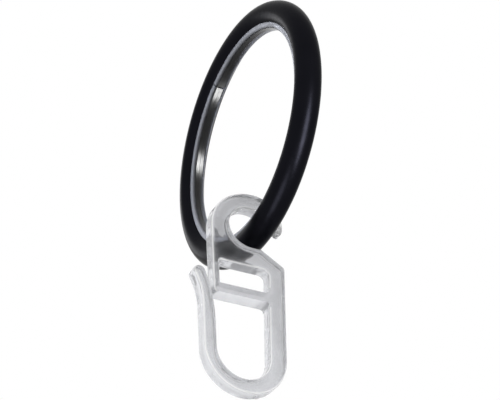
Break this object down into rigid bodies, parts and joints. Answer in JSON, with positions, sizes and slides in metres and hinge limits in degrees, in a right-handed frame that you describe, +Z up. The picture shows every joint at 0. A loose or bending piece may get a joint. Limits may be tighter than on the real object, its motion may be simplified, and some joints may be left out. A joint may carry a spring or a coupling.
{
  "type": "curtain ring with hook",
  "caption": "Black metal curtain pole ring with a clear glide liner in its bore and a clear plastic pleat hook hanging from it by an open eye.",
  "frame": {"origin": "centre of the ring, on the axis of the pole that it slides on", "axes": "+Z up, +Y along the pole, X across the ring; the hook hangs toward -Z in the YZ plane, with its sprung arm on the -Y side and the mouth of its eye on the +Y side"},
  "size_m": [0.042, 0.0146, 0.066],
  "materials": {
    "black_coat": "satin black coat on rolled sheet",
    "clear_liner": "clear gloss plastic",
    "clear_hook": "clear moulded plastic with polished faces"
  },
  "bodies": {
    "ring": {"ring_shell": "black_coat", "glide_liner": "clear_liner"},
    "hook": {"pleat_hook": "clear_hook"}
  },
  "joints": [
    {"name": "hook_swing", "type": "hinge", "parent": "ring", "child": "hook", "pos_m": [0, 0, -0.019], "axis": [1, 0, 0], "range_deg": [-90, 90]}
  ]
}
